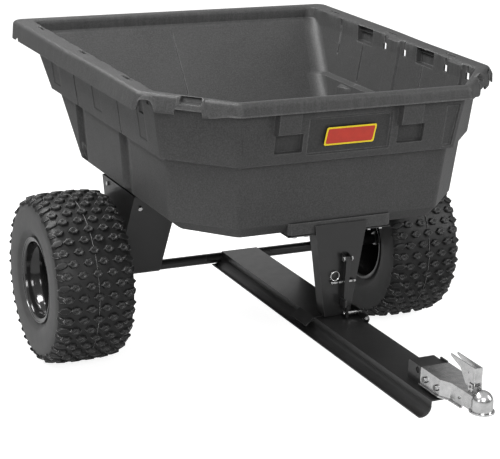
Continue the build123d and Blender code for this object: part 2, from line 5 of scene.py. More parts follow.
import bmesh
import bpy
from mathutils import Matrix, Vector


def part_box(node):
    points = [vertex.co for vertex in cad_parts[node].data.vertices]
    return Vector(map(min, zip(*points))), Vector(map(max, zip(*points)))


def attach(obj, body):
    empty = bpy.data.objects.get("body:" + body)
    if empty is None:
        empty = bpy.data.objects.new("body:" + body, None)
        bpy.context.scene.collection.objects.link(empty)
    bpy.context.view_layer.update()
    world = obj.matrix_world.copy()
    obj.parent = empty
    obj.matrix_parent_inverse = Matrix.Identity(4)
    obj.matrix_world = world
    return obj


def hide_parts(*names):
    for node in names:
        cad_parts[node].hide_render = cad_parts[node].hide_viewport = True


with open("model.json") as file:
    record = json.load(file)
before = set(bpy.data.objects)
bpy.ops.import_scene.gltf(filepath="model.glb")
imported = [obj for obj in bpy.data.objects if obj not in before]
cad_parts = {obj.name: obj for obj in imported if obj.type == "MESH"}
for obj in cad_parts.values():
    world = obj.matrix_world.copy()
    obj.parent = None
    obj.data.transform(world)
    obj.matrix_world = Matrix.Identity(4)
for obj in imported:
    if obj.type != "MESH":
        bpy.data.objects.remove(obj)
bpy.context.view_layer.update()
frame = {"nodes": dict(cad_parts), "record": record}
MM = 0.001
axle = [(a + b) / 2 for a, b in zip(*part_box("axle_shaft"))]
tub_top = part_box("tub")[1][2]


# ---- small helpers --------------------------------------------------------------------------
def mesh_object(name, verts, faces):
    mesh = bpy.data.meshes.new(name)
    mesh.from_pydata(verts, [], faces)
    mesh.validate()
    obj = bpy.data.objects.new(name, mesh)
    bpy.context.scene.collection.objects.link(obj)
    return obj


def smooth_by_angle(obj, degrees):
    """Smooth shading with edges sharper than the angle kept crisp."""
    for face in obj.data.polygons:
        face.use_smooth = True
    edit = bmesh.new()
    edit.from_mesh(obj.data)
    for edge in edit.edges:
        edge.smooth = len(edge.link_faces) != 2 or edge.calc_face_angle(0) < radians(degrees)
    edit.to_mesh(obj.data)
    edit.free()


def bevel(obj, width, segments=2, angle=35):
    mod = obj.modifiers.new("edge", "BEVEL")
    mod.width = width
    mod.segments = segments
    mod.limit_method = "ANGLE"
    mod.angle_limit = radians(angle)
    mod.harden_normals = False


def paint(obj, material):
    obj.data.materials.clear()
    obj.data.materials.append(material)


def ease(t):
    t = min(1.0, max(0.0, t))
    return t * t * (3 - 2 * t)


# ---- materials ------------------------------------------------------------------------------
def new_material(name):
    mat = bpy.data.materials.new(name)
    mat.use_nodes = True
    tree = mat.node_tree
    return mat, tree.nodes, tree.links, tree.nodes["Principled BSDF"]


def noise(nodes, links, scale, detail=3.0, rough=0.55):
    where = nodes.new("ShaderNodeTexCoord")
    tex = nodes.new("ShaderNodeTexNoise")
    tex.inputs["Scale"].default_value = scale
    tex.inputs["Detail"].default_value = detail
    tex.inputs["Roughness"].default_value = rough
    links.new(where.outputs["Object"], tex.inputs["Vector"])
    return tex


def ramp(nodes, links, source, stops):
    """Colour or grey ramp driven by a factor; each stop is (position, grey or colour)."""
    node = nodes.new("ShaderNodeValToRGB")
    band = node.color_ramp
    while len(band.elements) < len(stops):
        band.elements.new(0.5)
    for element, (spot, tone) in zip(band.elements, stops):
        element.position = spot
        element.color = (*tone, 1) if isinstance(tone, tuple) else (tone, tone, tone, 1)
    links.new(source, node.inputs["Fac"])
    return node.outputs["Color"]


def bump(nodes, links, shader, height, strength, distance, below=None):
    node = nodes.new("ShaderNodeBump")
    node.inputs["Strength"].default_value = strength
    node.inputs["Distance"].default_value = distance
    links.new(height, node.inputs["Height"])
    if below:
        links.new(below, node.inputs["Normal"])
    links.new(node.outputs["Normal"], shader.inputs["Normal"])
    return node.outputs["Normal"]


def product(nodes, links, a, b):
    node = nodes.new("ShaderNodeMath")
    node.operation = "MULTIPLY"
    links.new(a, node.inputs[0])
    links.new(b, node.inputs[1])
    return node.outputs["Value"]


def edge_wear_and_highlight(nodes, links, radius):
    """0 to 1 where the surface turns sharply, from the difference of two shading normals; lightens worn
    edges and paints edge highlights.
    """
    rounded = nodes.new("ShaderNodeBevel")
    rounded.inputs["Radius"].default_value = radius
    rounded.samples = 4
    plain = nodes.new("ShaderNodeNewGeometry")
    gap = nodes.new("ShaderNodeVectorMath")
    gap.operation = "DOT_PRODUCT"
    links.new(rounded.outputs["Normal"], gap.inputs[0])
    links.new(plain.outputs["Normal"], gap.inputs[1])
    return ramp(nodes, links, gap.outputs["Value"], [(0.75, 1.0), (0.98, 0.0)])


def mix_colour(nodes, links, factor, under, grey):
    """The colour under, turned towards a grey by a factor. 6, 7 and output 2 are the colours."""
    node = nodes.new("ShaderNodeMix")
    node.data_type = "RGBA"
    links.new(factor, node.inputs["Factor"])
    links.new(under, node.inputs[6])
    node.inputs[7].default_value = (grey, grey, grey, 1)
    return node.outputs[2]


def painted_recess_shade(nodes, links, colour, distance, darkest):
    """The colour darkened as painted shade where surfaces face each other closely."""
    open_sky = nodes.new("ShaderNodeAmbientOcclusion")
    open_sky.samples = 6
    open_sky.inputs["Distance"].default_value = distance
    level = ramp(nodes, links, open_sky.outputs["AO"], [(0.15, darkest), (0.8, 1.0)])
    mix = nodes.new("ShaderNodeMix")
    mix.data_type = "RGBA"
    mix.blend_type = "MULTIPLY"
    mix.inputs["Factor"].default_value = 1.0
    links.new(colour, mix.inputs["A"])
    links.new(level, mix.inputs["B"])
    return mix.outputs["Result"]


def rim_scuffs(nodes, links):
    """Scuff amount, in upright streaks on the rolled rim only."""
    where = nodes.new("ShaderNodeTexCoord")
    squeezed = nodes.new("ShaderNodeMapping")
    squeezed.inputs["Scale"].default_value = (90, 90, 6)
    links.new(where.outputs["Object"], squeezed.inputs["Vector"])
    streak = nodes.new("ShaderNodeTexNoise")
    streak.inputs["Scale"].default_value = 1.0
    streak.inputs["Detail"].default_value = 4.0
    links.new(squeezed.outputs["Vector"], streak.inputs["Vector"])
    amount = ramp(nodes, links, streak.outputs["Fac"], [(0.45, 0.0), (0.8, 0.3)])
    split = nodes.new("ShaderNodeSeparateXYZ")
    links.new(where.outputs["Object"], split.inputs["Vector"])
    high = nodes.new("ShaderNodeMapRange")
    high.inputs["From Min"].default_value = 0.957
    high.inputs["From Max"].default_value = 0.975
    links.new(split.outputs["Z"], high.inputs["Value"])
    return product(nodes, links, amount, high.outputs["Result"])


def poly_material(name="poly", level=1.0):
    """Rotomoulded polyethylene: pebbled grain, faint mottling, scuffed lighter edges, painted shade in
    corners.
    """
    mat, nodes, links, shader = new_material(name)
    mottling = noise(nodes, links, 5.0, 5.0, 0.6)
    # a level below one darkens the colour, for the copy of the poly used as painted shade
    tone = ramp(nodes, links, mottling.outputs["Fac"], [(0.3, 0.027 * level), (0.7, 0.036 * level)])
    grain = noise(nodes, links, 230.0, 3.0, 0.65)
    flecks = ramp(nodes, links, grain.outputs["Fac"], [(0.40, 0.0), (0.70, 0.6)])
    tone = mix_colour(nodes, links, flecks, tone, 0.074 * level)
    tone = mix_colour(nodes, links, rim_scuffs(nodes, links), tone, 0.095)
    patchy = noise(nodes, links, 75.0, 4.0, 0.7)
    patches = ramp(nodes, links, patchy.outputs["Fac"], [(0.3, 0.1), (0.65, 0.85)])
    worn = product(nodes, links, edge_wear_and_highlight(nodes, links, 0.006), patches)
    tone = mix_colour(nodes, links, worn, tone, 0.16)
    # painted shade: the colour is darkened where surfaces face each other closely
    links.new(painted_recess_shade(nodes, links, tone, 0.05, 0.35), shader.inputs["Base Color"])
    shader.inputs["Roughness"].default_value = 0.5
    shader.inputs["Specular IOR Level"].default_value = 0.42
    pebble = noise(nodes, links, 330.0, 2.0, 0.5)
    soft = noise(nodes, links, 14.0, 2.0, 0.4)
    first = bump(nodes, links, shader, soft.outputs["Fac"], 0.3, 0.005)
    bump(nodes, links, shader, pebble.outputs["Fac"], 0.6, 0.0012, first)
    return mat


def black_paint(name="paint", grey=0.014, rough=0.3):
    """Powder coat: near black, slight orange peel, lighter worn edges, painted shade in its corners."""
    mat, nodes, links, shader = new_material(name)
    cloud = noise(nodes, links, 9.0, 5.0)
    tone = ramp(nodes, links, cloud.outputs["Fac"], [(0.3, grey * 0.85), (0.75, grey * 1.35)])
    tone = mix_colour(nodes, links, edge_wear_and_highlight(nodes, links, 0.0012), tone, 0.09)
    # painted shade: the colour is darkened where surfaces face each other closely
    links.new(painted_recess_shade(nodes, links, tone, 0.07, 0.3), shader.inputs["Base Color"])
    haze = noise(nodes, links, 30.0, 4.0)
    links.new(ramp(nodes, links, haze.outputs["Fac"], [(0.3, rough * 0.92), (0.7, rough * 1.1)]),
              shader.inputs["Roughness"])
    shader.inputs["Coat Weight"].default_value = 0.2
    shader.inputs["Coat Roughness"].default_value = 0.12
    peel = noise(nodes, links, 260.0, 2.0)
    bump(nodes, links, shader, peel.outputs["Fac"], 0.12, 0.0005)
    return mat


def zinc_material(name="zinc", level=1.0):
    """Bright zinc plate, cloudy patches, painted highlights along edges, painted shade in corners."""
    mat, nodes, links, shader = new_material(name)
    shader.inputs["Metallic"].default_value = 1.0
    cloud = noise(nodes, links, 55.0, 5.0, 0.65)
    tone = ramp(nodes, links, cloud.outputs["Fac"], [(0.3, 0.56 * level), (0.7, 0.78 * level)])
    # painted highlight: the edges turned towards a near-white grey
    tone = mix_colour(nodes, links, edge_wear_and_highlight(nodes, links, 0.0022), tone, 0.95 * level)
    # painted shade where surfaces face each other closely
    links.new(painted_recess_shade(nodes, links, tone, 0.014, 0.3), shader.inputs["Base Color"])
    haze = noise(nodes, links, 60.0, 3.0)
    links.new(ramp(nodes, links, haze.outputs["Fac"], [(0.3, 0.2), (0.7, 0.27)]),
              shader.inputs["Roughness"])
    grain = noise(nodes, links, 500.0, 2.0)
    bump(nodes, links, shader, grain.outputs["Fac"], 0.05, 0.0003)
    return mat


def steel_material():
    """Bare drawn steel: cloudy grey with a fine grain."""
    mat, nodes, links, shader = new_material("drawn_steel")
    shader.inputs["Metallic"].default_value = 1.0
    cloud = noise(nodes, links, 80.0, 4.0, 0.6)
    links.new(ramp(nodes, links, cloud.outputs["Fac"], [(0.3, 0.27), (0.7, 0.5)]),
              shader.inputs["Base Color"])
    links.new(ramp(nodes, links, cloud.outputs["Fac"], [(0.3, 0.28), (0.7, 0.45)]),
              shader.inputs["Roughness"])
    bump(nodes, links, shader, noise(nodes, links, 600.0).outputs["Fac"], 0.2, 0.0003)
    return mat


def rubber_material(name, dark, light, edge=0.0):
    """Rubber: fine grain, dusty patches; where asked for, lighter edges and painted shade."""
    mat, nodes, links, shader = new_material(name)
    dust = noise(nodes, links, 26.0, 4.0)
    tone = ramp(nodes, links, dust.outputs["Fac"], [(0.35, dark), (0.7, light)])
    if edge:
        # lighter edges, partly wear and partly painted highlight, and painted shade between the lugs
        tone = mix_colour(nodes, links, edge_wear_and_highlight(nodes, links, 0.0028), tone, edge)
        tone = painted_recess_shade(nodes, links, tone, 0.012, 0.35)
    links.new(tone, shader.inputs["Base Color"])
    shader.inputs["Roughness"].default_value = 0.46
    shader.inputs["Specular IOR Level"].default_value = 0.35
    grain = noise(nodes, links, 500.0, 2.0)
    bump(nodes, links, shader, grain.outputs["Fac"], 0.25, 0.0006)
    return mat


def plain_material(name, colour, rough):
    """One colour with a faint cloud and a fine grain."""
    mat, nodes, links, shader = new_material(name)
    cloud = noise(nodes, links, 40.0, 3.0)
    dim = tuple(c * 0.85 for c in colour)
    links.new(ramp(nodes, links, cloud.outputs["Fac"], [(0.3, dim), (0.7, colour)]),
              shader.inputs["Base Color"])
    shader.inputs["Roughness"].default_value = rough
    bump(nodes, links, shader, noise(nodes, links, 300.0).outputs["Fac"], 0.15, 0.0003)
    return mat


# ---- tub ------------------------------------------------------------------------------------
# Levels as (height, half width, rear reach, chamfer start, front reach, front half width), mm
FLOOR = (580, 440, 195, 532, 672, 319)
LOW = (615, 484, 240, 545, 699, 333)
LEDGE_LOW = (804, 503, 397, 556, 719, 345)
LEDGE_HIGH = (812, 523, 430, 565, 740, 356)
UNDER_RIM = (964, 546, 549, 562, 763, 372)
SKIRT = (960, 611, 588, 556, 793, 383)
RIM = (1000, 598, 588, 556, 788, 378)
LEVELS = [FLOOR, LOW, LEDGE_LOW, LEDGE_HIGH, UNDER_RIM]
SIDES = ["right", "chamfer_right", "front", "chamfer_left", "left", "rear"]
CHAMFERS = ("chamfer_left", "chamfer_right")
AXLE_Y = axle[1] / MM
WALL = 7.0
CORNER_STEPS = 7
# The grid's closest lines and its widest gaps along and up a wall
GRID_LEAST = 0.9
GRID_ALONG = 20
GRID_UP = 16

# The rolled rim: its crown at the front, the round's radius and how far its top dips inward
RIM_CROWN = 1011.0
RIM_ROUND = 14
RIM_DIP = 0.6
RIM_LOW_END = AXLE_Y - 790
RIM_RUN = 1378.0
RIM_RISE = tub_top / MM - (RIM_CROWN + 0.5)
REAR_FLARE = 0.015      # share by which the rim widens towards the rear

# The skirt's lower edge, and spans along a chamfer as shares of its length from the rear end
SKIRT_EDGE = 960.0
FRONT_SKIRT = 970.0
REAR_SKIRT = 972.0
ARCH_SPAN = 0.18
ARCH_HIGH = 33.0
NOTCH_SPAN = (0.39, 0.67)
NOTCH_HIGH = 15.0
POCKET_SPAN = (0.41, 0.65)
FRAME_SPAN = (0.385, 0.675)
CORNER_NOTCH = (503, 536)      # behind the axle
CORNER_NOTCH_HIGH = 11.0

# Places along the side walls in mm behind the axle, and across the front wall in mm to the right
TIE_DOWNS = (396, -12, -387)      # slots in the rim's top
FRONT_TIE_DOWNS = (-205, 198)
TIE_HALF = 29
TIE_DEPTH = 11
LIP_HALF = 34
LIP_HIGH = 1.6
SLOTS_AT = (1, -128, -386, -516)      # openings right through the side walls
SLOT_Z = (962.0, 984.0)
SLOT_HALF = 10.0
GROOVES_AT = (140, -252)
FLUTES_AT = (226, -174)      # each flute's rear end
FLUTE_RUN = 92
FLUTE_Z = (598, 794)
FLUTE_DEPTH = 24
FIELDS = ((298, 362), (-92, -26), (-472, -416))      # sunk panels between the grooves
POCKETS = ((88, 190), (-312, -208))      # bays under the rim, pushed outwards
POCKET_DEPTH = 18
INNER_PANELS = ((-100, -26), (-488, -412))      # panels raised on the inside
SKIRT_TUCK = 990      # the outer wall ends here, behind the skirt
INNER_TOP = 1040      # above the inner wall, so that a feature runs out over its edge


def level_at(z, inside=False):
    """The wall's plan at a height. Inside, the rear wall slopes without the outer step."""
    high = min(max(z, LEVELS[0][0]), LEVELS[-1][0])
    found = LEVELS[-1]
    for lower, upper in zip(LEVELS[:-1], LEVELS[1:]):
        if high <= upper[0]:
            t = (high - lower[0]) / (upper[0] - lower[0])
            found = tuple(a + (b - a) * t for a, b in zip(lower, upper))
            break
    if inside and z > LOW[0]:
        top, reach, step = 976.0, 537.0, 14
        slope = LOW[2] + (min(z, top) - LOW[0]) * (reach - LOW[2]) / (top - LOW[0])
        rear = slope + step * ease((z - (top - 1)) / 7.0)
        found = (found[0], found[1], min(rear, UNDER_RIM[2]), *found[3:])
    return found


def corners_of(level, inset):
    """Corner points of a plan moved in by the inset: rear right, then round by the front."""
    half, rear, cut, front, front_half = level[1:]
    points = [Vector(p) for p in (
        (half, AXLE_Y + rear), (half, AXLE_Y - cut), (front_half, AXLE_Y - front),
        (-front_half, AXLE_Y - front), (-half, AXLE_Y - cut), (-half, AXLE_Y + rear))]
    moved = []
    for i, here in enumerate(points):
        a = (here - points[i - 1]).normalized()
        b = (points[(i + 1) % 6] - here).normalized()
        na, nb = Vector((a.y, -a.x)), Vector((b.y, -b.x))
        moved.append(here + (na + nb) * inset / (1 + na.dot(nb)))
    return moved


def even(low, high, count):
    return [low + (high - low) * i / count for i in range(count + 1)]


class Feature:
    """A raised (+) or sunk (-) patch on one skin of one wall, with eased edges, in mm.

    A flute is deepest near its high end and runs out towards its low end.
    """

    # painted_shade marks a sunk patch that takes the darker poly copy as painted shade
    def __init__(self, side, skin, u, z, depth, soft=5.0, flute=False, painted_shade=False):
        self.side, self.skin, self.u, self.z = side, skin, u, z
        self.depth, self.soft, self.flute, self.painted_shade = depth, soft, flute, painted_shade

    def amount(self, u, z):
        low, high = self.u
        if not (low - self.soft <= u <= high + self.soft):
            return 0.0
        if not (self.z[0] - self.soft <= z <= self.z[1] + self.soft):
            return 0.0
        up = ease((z - self.z[0] + self.soft / 2) / self.soft) * \
            ease((self.z[1] - z + self.soft / 2) / self.soft)
        if self.flute:
            back = min(1.0, max(0.0, (high - u) / (high - low)))
            return self.depth * ease(back / 0.16) * (1 - back) ** 1.4 * up
        across = ease((u - low + self.soft / 2) / self.soft) * \
            ease((high - u + self.soft / 2) / self.soft)
        return self.depth * across * up


def side_features(side):
    """Everything pressed into one side wall."""
    for at in GROOVES_AT:
        yield Feature(side, "out", (at - 4, at + 4), (806, SKIRT_TUCK), -5, 3)
    for high in FLUTES_AT:
        span = (high - FLUTE_RUN, high)
        yield Feature(side, "out", span, FLUTE_Z, -FLUTE_DEPTH, 8, True)
        yield Feature(side, "in", span, FLUTE_Z, FLUTE_DEPTH, 8, True)
    for low, high in FIELDS:
        yield Feature(side, "out", (low, high), (842, SKIRT_TUCK), -1.6, 3)
        yield Feature(side, "out", (low + 8, high - 16), (922, SKIRT_TUCK), -3.8, 4, painted_shade=True)
    for low, high in POCKETS:
        yield Feature(side, "in", (low, high), (957, INNER_TOP), -POCKET_DEPTH, 5)
        yield Feature(side, "out", (low - 3, high + 3), (952, SKIRT_TUCK), POCKET_DEPTH, 5)
        yield Feature(side, "in", (high - 46, high - 39), (820, 956), -5, 3)
    for at in SLOTS_AT:
        yield Feature(side, "in", (at - 4, at + 4), (SLOT_Z[1], INNER_TOP), -5, 2.4)
    for span in INNER_PANELS:
        yield Feature(side, "in", span, (820, INNER_TOP), 9, 7)
    yield Feature(side, "in", (309, 315), (888, INNER_TOP), -5, 3)


def end_features():
    """Everything pressed into the front and rear walls, with the field behind the label."""
    for x in FRONT_TIE_DOWNS:
        square, heights = (x - 43, x + 43), (846, 899)
        yield Feature("front", "out", (x - 49, x + 27), (903, 985), 20, 7)
        yield Feature("front", "out", square, heights, -11, 4, painted_shade=True)
        yield Feature("front", "in", square, heights, 9, 8)
    yield Feature("front", "out", (-144, 128), (834, 944), -6, 4, painted_shade=True)
    yield Feature("front", "out", (316, 352), (822, 950), -6, 5)
    yield Feature("rear", "in", (-38, -34), (640, 960), -4, 2.4)


FEATURES = [*side_features("left"), *side_features("right"), *end_features()]


def edge_marks(spans):
    """Grid lines at the foot, sides and head of each eased edge."""
    marks = []
    for (low, high), soft, flute in spans:
        for edge in (low, high):
            marks += [edge + soft * share for share in (-0.5, -0.17, 0.17, 0.5)]
        if flute:
            marks += even(low, high, 14)
    return marks


def spaced(marks, low, high, least, widest):
    """Sorted marks between two limits with near-duplicates dropped and wide gaps filled."""
    kept = [low]
    for mark in sorted(m for m in marks if low + least < m < high - least):
        if mark - kept[-1] >= least:
            kept.append(mark)
    kept.append(high)
    filled = []
    for a, b in zip(kept[:-1], kept[1:]):
        steps = int((b - a) / widest) + 1
        filled += [a + (b - a) * i / steps for i in range(steps)]
    return filled + [high]


def side_marks(side, low, high, extra=()):
    spans = [(f.u, f.soft, f.flute) for f in FEATURES if f.side == side]
    return spaced(edge_marks(spans) + list(extra), low, high, GRID_LEAST, GRID_ALONG)


def stations():
    """Grid lines along each side in the order of travel, with what they measure."""
    slots = [at + d for at in SLOTS_AT for d in (-SLOT_HALF, SLOT_HALF)]
    ties = [at + d for at in TIE_DOWNS for d in (-34, -31, -28, -25, 25, 28, 31, 34)]
    long_side = side_marks("left", -545, 560, slots + ties + [500, 506, CORNER_NOTCH[1]])
    chamfer = spaced([0.02, 0.17, 0.19, 0.385, 0.395, 0.665, 0.675], 0, 1, 0.006, 0.022)
    front = side_marks("front", -345, 345, [-290, 290])
    return {"right": ("y", long_side[::-1]), "left": ("y", long_side),
            "chamfer_right": ("t", chamfer), "chamfer_left": ("t", [1 - t for t in chamfer][::-1]),
            "front": ("x", front[::-1]), "rear": ("x", side_marks("rear", -560, 560))}


STATIONS = stations()


def ring(level, inset, rear_corner=28.0, front_corner=28.0):
    """A closed ring as (x, y, side, u) in mm: each side's stations, then the corner after it."""
    points = corners_of(level, inset)
    radii = [rear_corner, front_corner, front_corner, front_corner, front_corner, rear_corner]
    out = []
    for i, side in enumerate(SIDES):
        start, end = points[i], points[(i + 1) % 6]
        way = (end - start).normalized()
        before = (start - points[i - 1]).normalized()
        after = (points[(i + 2) % 6] - end).normalized()
        bend_in, bend_out = before.angle(way), way.angle(after)
        first = start + way * radii[i] * tan(bend_in / 2)
        last = end - way * radii[(i + 1) % 6] * tan(bend_out / 2)
        kind, marks = STATIONS[side]
        for k, mark in enumerate(marks):
            if kind == "y":
                share = (AXLE_Y + mark - first.y) / (last.y - first.y)
            elif kind == "x":
                share = (mark - first.x) / (last.x - first.x)
            else:
                share = mark
            share = 0.0 if k == 0 else 1.0 if k == len(marks) - 1 else min(1.0, max(0.0, share))
            place = first + (last - first) * share
            out.append((place.x, place.y, side, mark))
        radius = radii[(i + 1) % 6]
        centre = last + Vector((way.y, -way.x)) * radius
        spoke = last - centre
        sense = 1 if way.cross(after) > 0 else -1
        for k in range(1, CORNER_STEPS):
            turn = sense * bend_out * k / CORNER_STEPS
            out.append((centre.x + spoke.x * cos(turn) - spoke.y * sin(turn),
                        centre.y + spoke.x * sin(turn) + spoke.y * cos(turn), f"corner_{i}", 0.0))
    return out


def along_chamfer(side, u):
    """Share of a chamfer's length from its rear end."""
    return 1 - u if side == "chamfer_left" else u


def skirt_floor(side, u):
    """Height of the rim skirt's lower edge, with its notches and the arch by the corner."""
    if side in ("front", "corner_1", "corner_2"):
        return FRONT_SKIRT
    if side in CHAMFERS:
        t = along_chamfer(side, u)
        low = SKIRT_EDGE + (FRONT_SKIRT - SKIRT_EDGE) * ease((t - 0.72) / 0.25)
        if 0.0 < t < ARCH_SPAN:
            half = ARCH_SPAN / 2
            low = max(low, SKIRT_EDGE + ARCH_HIGH * sqrt(max(0.0, 1 - ((t - half) / half) ** 4)))
        if NOTCH_SPAN[0] < t < NOTCH_SPAN[1]:
            low += NOTCH_HIGH
        return low
    if side == "rear":
        return REAR_SKIRT
    if side in ("left", "right") and CORNER_NOTCH[0] < u < CORNER_NOTCH[1]:
        return SKIRT_EDGE + CORNER_NOTCH_HIGH
    return SKIRT_EDGE


def rim_lift(y):
    """The rim rises a little towards the rear."""
    return RIM_RISE * min(1.0, max(0.0, (y - RIM_LOW_END) / RIM_RUN))


def rim_rows():
    """Section of the rolled rim as (height, inset): down behind the skirt, round its edge and up."""
    rows = [(992, 12.0), (975, 6.5), (962, 6.0), (960.4, 4.6), (960, 3.0), (960.4, 1.3), (962, 0.2),
            (968, 0.0), (975, 0.0), (982, 0.0), (989, 0.0), (996, 0.0)]
    for angle in range(10, 91, 10):
        turn = radians(angle)
        rows.append((RIM_CROWN - RIM_ROUND + RIM_ROUND * sin(turn), RIM_ROUND * (1 - cos(turn))))
    return rows


def rim_plan(z):
    """Plan of the rim's outer face: it flares out to the skirt's lower edge."""
    t = min(1.0, max(0.0, (z - SKIRT[0]) / (RIM[0] - SKIRT[0])))
    return tuple(a + (b - a) * t for a, b in zip(SKIRT, RIM))


def wall_heights(skin, low, high, extra):
    """Heights of one skin's rings, close together at the edges of its features."""
    spans = [(f.z, f.soft, False) for f in FEATURES if f.skin == skin]
    return spaced(edge_marks(spans) + extra, low, high, GRID_LEAST, GRID_UP)


def tub_rows():
    """Every ring of the tub's section, from under the floor, over the rim, to the floor inside."""
    rows = []

    def add(z, level, inset, skin, rear=28.0, front=28.0):
        rows.append((z, ring(level, inset, rear, front), skin))

    for z, inset in ((580.0, 30), (580.0, 5), (581.5, 1.5), (585, 0)):
        add(z, level_at(z), inset, "plain")
    for z in (598, 609, 613, 615, 618):
        add(z, level_at(z), 0.0, "out")
    for z in wall_heights("out", 622, SKIRT_TUCK, [801, 804, 808, 812, 815, *SLOT_Z]):
        add(z, level_at(z), 0.0, "out")
    add(996, UNDER_RIM, 0.0, "plain")
    for z, inset in rim_rows():
        add(z, rim_plan(z), inset, "rim")
    edge = ring(UNDER_RIM, -6)
    outer = ring(RIM, RIM_ROUND)
    for share in (0.25, 0.5, 0.56, 0.6, 0.64, 0.86, 0.9, 0.94):
        rows.append((RIM_CROWN - RIM_DIP * share, [
            (a[0] + (b[0] - a[0]) * share, a[1] + (b[1] - a[1]) * share, a[2], a[3])
            for a, b in zip(outer, edge)], "top"))
    for z, inset in ((1010.2, -5), (1009.6, -1), (1007.6, 3), (1004.5, 5.6)):
        add(z, UNDER_RIM, inset, "inner_edge")
    inner_marks = [983, 979, 975, 971, 815, 812, 804, 801, *SLOT_Z]
    for z in reversed(wall_heights("in", 622, 1001, inner_marks)):
        add(z, level_at(z, True), WALL, "in", 28 + 22 * ease((1000 - z) / 60), 30)
    for z, inset in ((612, 9), (602, 13), (594, 20), (588.5, 31), (586.6, 44), (586.2, 60)):
        add(z, level_at(max(z, 590), True), inset, "in", 52, 34)
    return rows


def chamfer_frame(t, z):
    """Outward move and lift of a chamfer's tie-down pocket and of the raised frame round it."""
    low, high = POCKET_SPAN
    pocket = ease((t - low) / 0.025) * ease((high - t) / 0.025) * \
        ease((z - 988) / 5) * ease((RIM_CROWN - 0.1 - z) / 2.5)
    low, high = FRAME_SPAN
    frame_up = ease((t - low) / 0.012) * ease((high - t) / 0.012) * ease((z - 979) / 4)
    return 2.2 * frame_up - 15 * pocket, 1.2 * frame_up


def tie_down_lift(side, u, z):
    """Height change of the rim's flat top at its tie-down slots, each with a low lip round it."""
    places = {"left": TIE_DOWNS, "right": TIE_DOWNS, "front": FRONT_TIE_DOWNS}.get(side, ())
    share = (RIM_CROWN - z) / RIM_DIP
    lift = 0.0
    for at in places:
        off = abs(u - at)
        sunk = ease((TIE_HALF - off) / 3)
        lift -= TIE_DEPTH * sunk * ease((share - 0.57) / 0.05) * ease((0.93 - share) / 0.05)
        lift += LIP_HIGH * ease((LIP_HALF - off) / 4) * ease((share - 0.5) / 0.06) * (1 - sunk)
    return lift


def edge_wave(side, u):
    """The slight wander of the rim's inner edge, different on the two sides."""
    return 1.8 * sin(u * 0.047 + (1 if side == "left" else 2.4)) + 1.2 * sin(u * 0.131)


def shaped(row, z, skin):
    """One ring's points after its features and the rim's details."""
    points = []
    count = len(row)
    for k, (x, y, side, u) in enumerate(row):
        before, after = row[k - 1], row[(k + 1) % count]
        run = Vector((after[0] - before[0], after[1] - before[1]))
        outward = Vector((-run.y, run.x)).normalized() if run.length > 1e-6 else Vector((0, 0))
        move, height = 0.0, z
        if skin in ("out", "in"):
            sign = 1 if skin == "out" else -1
            move = sum(sign * f.amount(u, z) for f in FEATURES if f.side == side and f.skin == skin)
        if skin in ("rim", "top", "inner_edge"):
            height = z + rim_lift(y) * ease((z - 962) / 40)
        if skin == "in" and z > 990:
            height = z + rim_lift(y) * (z - 990) / 20
        if skin == "rim":
            floor = skirt_floor(side, u)
            if height < floor + 2:
                height = floor + (z - SKIRT_EDGE) * 0.5
            if side in CHAMFERS:
                move, lift = chamfer_frame(along_chamfer(side, u), z)
                height += lift
            x *= 1 + REAR_FLARE * ease((y - 250) / 300) * min(1.0, max(0.0, (z - 962) / 38))
        if skin == "inner_edge" and side in ("left", "right"):
            move = edge_wave(side, u)
        if skin == "top":
            height += tie_down_lift(side, u, z)
        points.append(((x + outward.x * move) * MM, (y + outward.y * move) * MM, height * MM))
    return points


def through_slots(rows, count):
    """Grid cells left out of both skins at each slot, and the faces that join the two skins."""
    first = rows[0][1]
    columns = []
    for k, (_, _, side, u) in enumerate(first):
        after = first[(k + 1) % count]
        mid = (u + after[3]) / 2
        if side in ("left", "right") and after[2] == side:
            if any(abs(mid - at) < SLOT_HALF for at in SLOTS_AT):
                columns.append(k)
    bands = {}
    for skin in ("out", "in"):
        bands[skin] = [r for r in range(len(rows) - 1)
                       if rows[r][2] == skin and rows[r + 1][2] == skin
                       and SLOT_Z[0] < (rows[r][0] + rows[r + 1][0]) / 2 < SLOT_Z[1]]
    gone = {(r, k) for skin in bands for r in bands[skin] for k in columns}
    low_out, high_out = bands["out"][0], bands["out"][-1] + 1
    high_in, low_in = bands["in"][0], bands["in"][-1] + 1
    tunnel = []
    for k in columns:
        n = (k + 1) % count
        tunnel.append((low_out * count + k, low_out * count + n,
                       low_in * count + n, low_in * count + k))
        tunnel.append((high_out * count + n, high_out * count + k,
                       high_in * count + k, high_in * count + n))
        for edge, open_side in ((k, (k - 1) % count not in columns), (n, n not in columns)):
            if open_side:
                tunnel.append((low_out * count + edge, low_in * count + edge,
                               high_in * count + edge, high_out * count + edge))
    return gone, tunnel


def has_painted_shade(skin, z, side, u):
    """Faces given painted shade: the sunk fields on the outside and everything behind the skirt."""
    if skin != "out":
        return False
    return z > SKIRT_EDGE + 5 or any(
        f.painted_shade and f.side == side and f.u[0] < u < f.u[1] and f.z[0] < z < f.z[1]
        for f in FEATURES)


